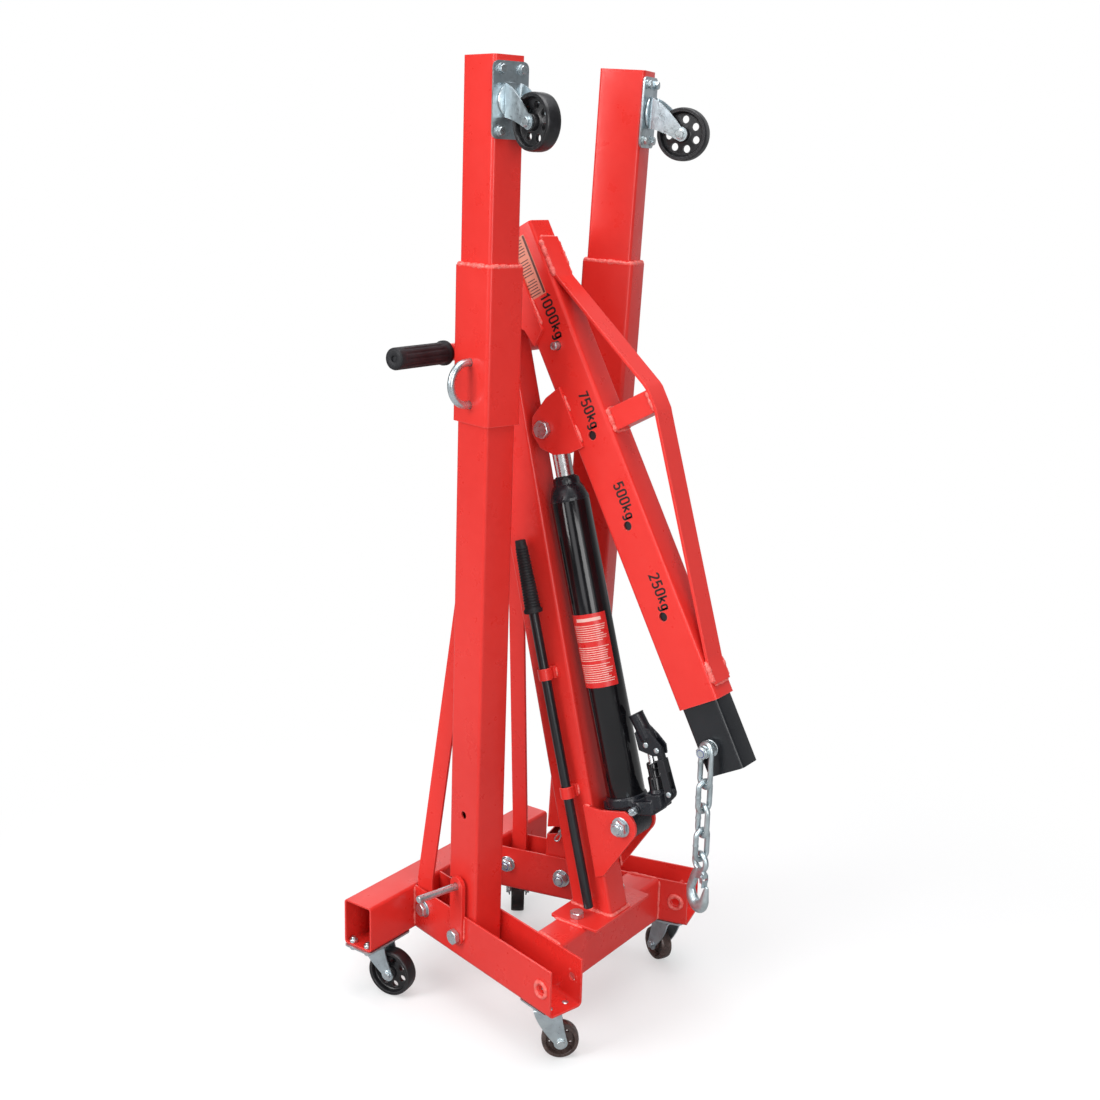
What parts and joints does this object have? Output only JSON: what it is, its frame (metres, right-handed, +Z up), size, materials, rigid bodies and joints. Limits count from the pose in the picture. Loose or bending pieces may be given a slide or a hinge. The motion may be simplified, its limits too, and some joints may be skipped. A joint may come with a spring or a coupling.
{
  "type": "engine hoist crane",
  "caption": "Folding shop crane on casters with a telescopic boom, hydraulic long ram jack, chain and hook, legs folded up for storage.",
  "frame": {"origin": "on the floor plane (bottom of the casters), under the middle of the crane's bounding box", "axes": "+Z up, +X to the front, where the legs fold down to, +Y to the left side"},
  "size_m": [0.574, 0.474, 1.4293],
  "materials": {
    "red_paint": "gloss",
    "black_gloss_paint": "gloss",
    "black_satin_paint": "satin",
    "zinc_plate": "bright bluish zinc plate",
    "ram_chrome": "polished",
    "black_rubber": "matte",
    "black_cast_iron": "black enamel",
    "brown_black_wheel": "brown-black enamel"
  },
  "bodies": {
    "base": {"brace_left": "red_paint", "brace_right": "red_paint", "caster_plate_front_left": "zinc_plate", "caster_plate_front_right": "zinc_plate", "caster_plate_rear_left": "zinc_plate", "caster_plate_rear_right": "zinc_plate", "channel_left": "red_paint", "channel_right": "red_paint", "front_cross_tube": "red_paint", "leg_pivot_bolt_left": "zinc_plate", "leg_pivot_bolt_right": "zinc_plate", "mast": "red_paint", "push_handle_bar": "red_paint", "push_handle_grip_left": "black_rubber", "push_handle_grip_right": "black_rubber", "rear_cross_tube": "red_paint"},
    "boom": {"boom": "red_paint", "boom_pivot_bolt": "zinc_plate", "boom_truss": "red_paint", "ram_bolt": "zinc_plate"},
    "boom_extension": {"boom_extension": "black_satin_paint", "chain_bolt": "zinc_plate"},
    "boom_pin": {"boom_pin": "zinc_plate"},
    "caster_fork_front_left": {"caster_fork_front_left": "zinc_plate"},
    "caster_fork_front_right": {"caster_fork_front_right": "zinc_plate"},
    "caster_fork_leg_left": {"caster_fork_leg_left": "zinc_plate"},
    "caster_fork_leg_right": {"caster_fork_leg_right": "zinc_plate"},
    "caster_fork_rear_left": {"caster_fork_rear_left": "zinc_plate"},
    "caster_fork_rear_right": {"caster_fork_rear_right": "zinc_plate"},
    "caster_wheel_front_left": {"caster_wheel_front_left": "brown_black_wheel"},
    "caster_wheel_front_right": {"caster_wheel_front_right": "brown_black_wheel"},
    "caster_wheel_leg_left": {"caster_wheel_leg_left": "black_cast_iron"},
    "caster_wheel_leg_right": {"caster_wheel_leg_right": "black_cast_iron"},
    "caster_wheel_rear_left": {"caster_wheel_rear_left": "black_cast_iron"},
    "caster_wheel_rear_right": {"caster_wheel_rear_right": "black_cast_iron"},
    "chain_link_1": {"chain_link_1": "zinc_plate"},
    "chain_link_2": {"chain_link_2": "zinc_plate"},
    "chain_link_3": {"chain_link_3": "zinc_plate"},
    "chain_link_4": {"chain_link_4": "zinc_plate"},
    "d_pin_left": {"d_pin_left": "zinc_plate"},
    "d_pin_right": {"d_pin_right": "zinc_plate"},
    "hook": {"hook": "zinc_plate"},
    "hook_latch": {"hook_latch": "zinc_plate"},
    "jack_body": {"jack_body": "black_gloss_paint"},
    "jack_rod": {"jack_rod": "ram_chrome"},
    "leg_extension_left": {"caster_plate_leg_left": "zinc_plate", "leg_extension_left": "red_paint"},
    "leg_extension_right": {"caster_plate_leg_right": "zinc_plate", "leg_extension_right": "red_paint"},
    "leg_left": {"leg_left": "red_paint"},
    "leg_right": {"leg_right": "red_paint"},
    "lock_pin_left": {"lock_pin_left": "zinc_plate"},
    "lock_pin_right": {"lock_pin_right": "zinc_plate"},
    "pump_handle": {"pump_handle": "black_satin_paint"},
    "pump_lever": {"pump_lever": "black_satin_paint"},
    "pump_link": {"pump_link": "black_satin_paint"},
    "pump_piston": {"pump_piston": "ram_chrome"},
    "release_valve": {"release_valve": "zinc_plate"}
  },
  "joints": [
    {"name": "boom_lift", "type": "hinge", "parent": "base", "child": "boom", "pos_m": [-0.19027, 0, 1.1049], "axis": [0, -1, 0], "range_deg": [0, 105]},
    {"name": "ram_tilt", "type": "hinge", "parent": "boom", "child": "jack_rod", "pos_m": [-0.069, 0, 0.91431], "axis": [0, -1, 0], "range_deg": [-112.52, 0]},
    {"name": "ram_stroke", "type": "slide", "parent": "jack_rod", "child": "jack_body", "axis": [0.2644, 0, -0.9644], "range_m": [0, 0.34424]},
    {"name": "boom_extend", "type": "slide", "parent": "boom", "child": "boom_extension", "axis": [0.4738, 0, -0.8806], "range_m": [0, 0.42]},
    {"name": "boom_pin_pull", "type": "slide", "parent": "boom", "child": "boom_pin", "axis": [0, 1, 0], "range_m": [0, 0.065]},
    {"name": "leg_fold_right", "type": "hinge", "parent": "base", "child": "leg_right", "pos_m": [-0.10891, -0.12686, 0.131], "axis": [0.239, 0.971, 0], "range_deg": [0, 89.3]},
    {"name": "leg_extend_right", "type": "slide", "parent": "leg_right", "child": "leg_extension_right", "axis": [0.0119, -0.0029, 0.9999], "range_m": [0, 0.12]},
    {"name": "d_pin_pull_right", "type": "slide", "parent": "leg_extension_right", "child": "d_pin_right", "axis": [-0.239, -0.971, 0], "range_m": [0, 0.03]},
    {"name": "lock_pin_pull_right", "type": "slide", "parent": "base", "child": "lock_pin_right", "axis": [-0.239, -0.971, 0], "range_m": [0, 0.075]},
    {"name": "leg_fold_left", "type": "hinge", "parent": "base", "child": "leg_left", "pos_m": [-0.10891, 0.12686, 0.131], "axis": [-0.239, 0.971, 0], "range_deg": [0, 87.6]},
    {"name": "leg_extend_left", "type": "slide", "parent": "leg_left", "child": "leg_extension_left", "axis": [0.0407, 0.01, 0.9991], "range_m": [0, 0.12]},
    {"name": "d_pin_pull_left", "type": "slide", "parent": "leg_extension_left", "child": "d_pin_left", "axis": [-0.239, 0.971, 0], "range_m": [0, 0.03]},
    {"name": "lock_pin_pull_left", "type": "slide", "parent": "base", "child": "lock_pin_left", "axis": [-0.239, 0.971, 0], "range_m": [0, 0.075]},
    {"name": "chain_swing_1", "type": "hinge", "parent": "boom_extension", "child": "chain_link_1", "pos_m": [0.23284, -0.0326, 0.4885], "axis": [0, -1, 0], "range_deg": [-105, 0]},
    {"name": "chain_swing_2", "type": "hinge", "parent": "chain_link_1", "child": "chain_link_2", "pos_m": [0.23284, -0.0326, 0.4328], "axis": [0.9272, -0.3746, 0], "range_deg": [-30, 30]},
    {"name": "chain_swing_3", "type": "hinge", "parent": "chain_link_2", "child": "chain_link_3", "pos_m": [0.23284, -0.0326, 0.3951], "axis": [0.3746, 0.9272, 0], "range_deg": [-30, 30]},
    {"name": "chain_swing_4", "type": "hinge", "parent": "chain_link_3", "child": "chain_link_4", "pos_m": [0.23284, -0.0326, 0.3574], "axis": [0.9272, -0.3746, 0], "range_deg": [-30, 30]},
    {"name": "hook_swing", "type": "hinge", "parent": "chain_link_4", "child": "hook", "pos_m": [0.23284, -0.0326, 0.3197], "axis": [0.3746, 0.9272, 0], "range_deg": [-30, 30]},
    {"name": "hook_latch_open", "type": "hinge", "parent": "hook", "child": "hook_latch", "pos_m": [0.24165, -0.03616, 0.2961], "axis": [0.3746, 0.9272, 0], "range_deg": [0, 28], "stiffness_Nm_per_rad": 0.05, "springref_deg": -20},
    {"name": "release_valve_turn", "type": "hinge", "parent": "jack_body", "child": "release_valve", "pos_m": [0.1141, -0.02, 0.36001], "axis": [0, -1, 0], "range_deg": [0, 270]},
    {"name": "pump_link_rock", "type": "hinge", "parent": "jack_body", "child": "pump_link", "pos_m": [0.15949, 0, 0.39112], "axis": [0, -1, 0], "range_deg": [0, 5.13]},
    {"name": "pump_stroke", "type": "hinge", "parent": "pump_link", "child": "pump_lever", "pos_m": [0.13572, 0, 0.45511], "axis": [0, 1, 0], "range_deg": [0, 32]},
    {"name": "pump_piston_stroke", "type": "slide", "parent": "jack_body", "child": "pump_piston", "axis": [-0.2644, 0, 0.9644], "range_m": [0, 0.00737]},
    {"name": "pump_handle_withdraw", "type": "slide", "parent": "base", "child": "pump_handle", "axis": [-0.2542, 0, 0.9671], "range_m": [0, 0.15]},
    {"name": "swivel_front_left", "type": "hinge", "parent": "base", "child": "caster_fork_front_left", "pos_m": [0.06393, 0.16941, 0.091], "axis": [0, 0, -1], "continuous": true},
    {"name": "wheel_spin_front_left", "type": "hinge", "parent": "caster_fork_front_left", "child": "caster_wheel_front_left", "pos_m": [0.0449, 0.17829, 0.028], "axis": [0.4229, 0.9062, 0], "continuous": true},
    {"name": "swivel_front_right", "type": "hinge", "parent": "base", "child": "caster_fork_front_right", "pos_m": [0.06393, -0.16941, 0.091], "axis": [0, 0, -1], "continuous": true},
    {"name": "wheel_spin_front_right", "type": "hinge", "parent": "caster_fork_front_right", "child": "caster_wheel_front_right", "pos_m": [0.08008, -0.15599, 0.028], "axis": [0.6392, -0.769, 0], "continuous": true},
    {"name": "swivel_leg_left", "type": "hinge", "parent": "leg_extension_left", "child": "caster_fork_leg_left", "pos_m": [-0.02454, 0.14763, 1.36845], "axis": [0.9702, 0.2388, -0.0419], "continuous": true},
    {"name": "wheel_spin_leg_left", "type": "hinge", "parent": "caster_fork_leg_left", "child": "caster_wheel_leg_left", "pos_m": [0.03062, 0.16121, 1.33854], "axis": [-0.239, 0.971, 0], "continuous": true},
    {"name": "swivel_leg_right", "type": "hinge", "parent": "leg_extension_right", "child": "caster_fork_leg_right", "pos_m": [-0.06022, -0.13885, 1.37048], "axis": [0.9709, -0.239, -0.0122], "continuous": true},
    {"name": "wheel_spin_leg_right", "type": "hinge", "parent": "caster_fork_leg_right", "child": "caster_wheel_leg_right", "pos_m": [-0.00423, -0.15263, 1.34227], "axis": [0.239, 0.971, 0], "continuous": true},
    {"name": "swivel_rear_left", "type": "hinge", "parent": "base", "child": "caster_fork_rear_left", "pos_m": [-0.25896, 0.186, 0.091], "axis": [0, 0, -1], "continuous": true},
    {"name": "wheel_spin_rear_left", "type": "hinge", "parent": "caster_fork_rear_left", "child": "caster_wheel_rear_left", "pos_m": [-0.24246, 0.164, 0.038], "axis": [-0.8, -0.6, 0], "continuous": true},
    {"name": "swivel_rear_right", "type": "hinge", "parent": "base", "child": "caster_fork_rear_right", "pos_m": [-0.25896, -0.186, 0.091], "axis": [0, 0, -1], "continuous": true},
    {"name": "wheel_spin_rear_right", "type": "hinge", "parent": "caster_fork_rear_right", "child": "caster_wheel_rear_right", "pos_m": [-0.23186, -0.1813, 0.038], "axis": [0.1709, -0.9853, 0], "continuous": true}
  ],
  "couplings": [
    {"joint": "ram_tilt", "follows": "boom_lift", "ratio": -1.0716},
    {"joint": "ram_stroke", "follows": "boom_lift", "m_per_rad": 0.18784},
    {"joint": "chain_swing_1", "follows": "boom_lift", "ratio": -1},
    {"joint": "pump_link_rock", "follows": "pump_stroke", "ratio": 0.16},
    {"joint": "pump_piston_stroke", "follows": "pump_stroke", "m_per_rad": 0.0132}
  ]
}
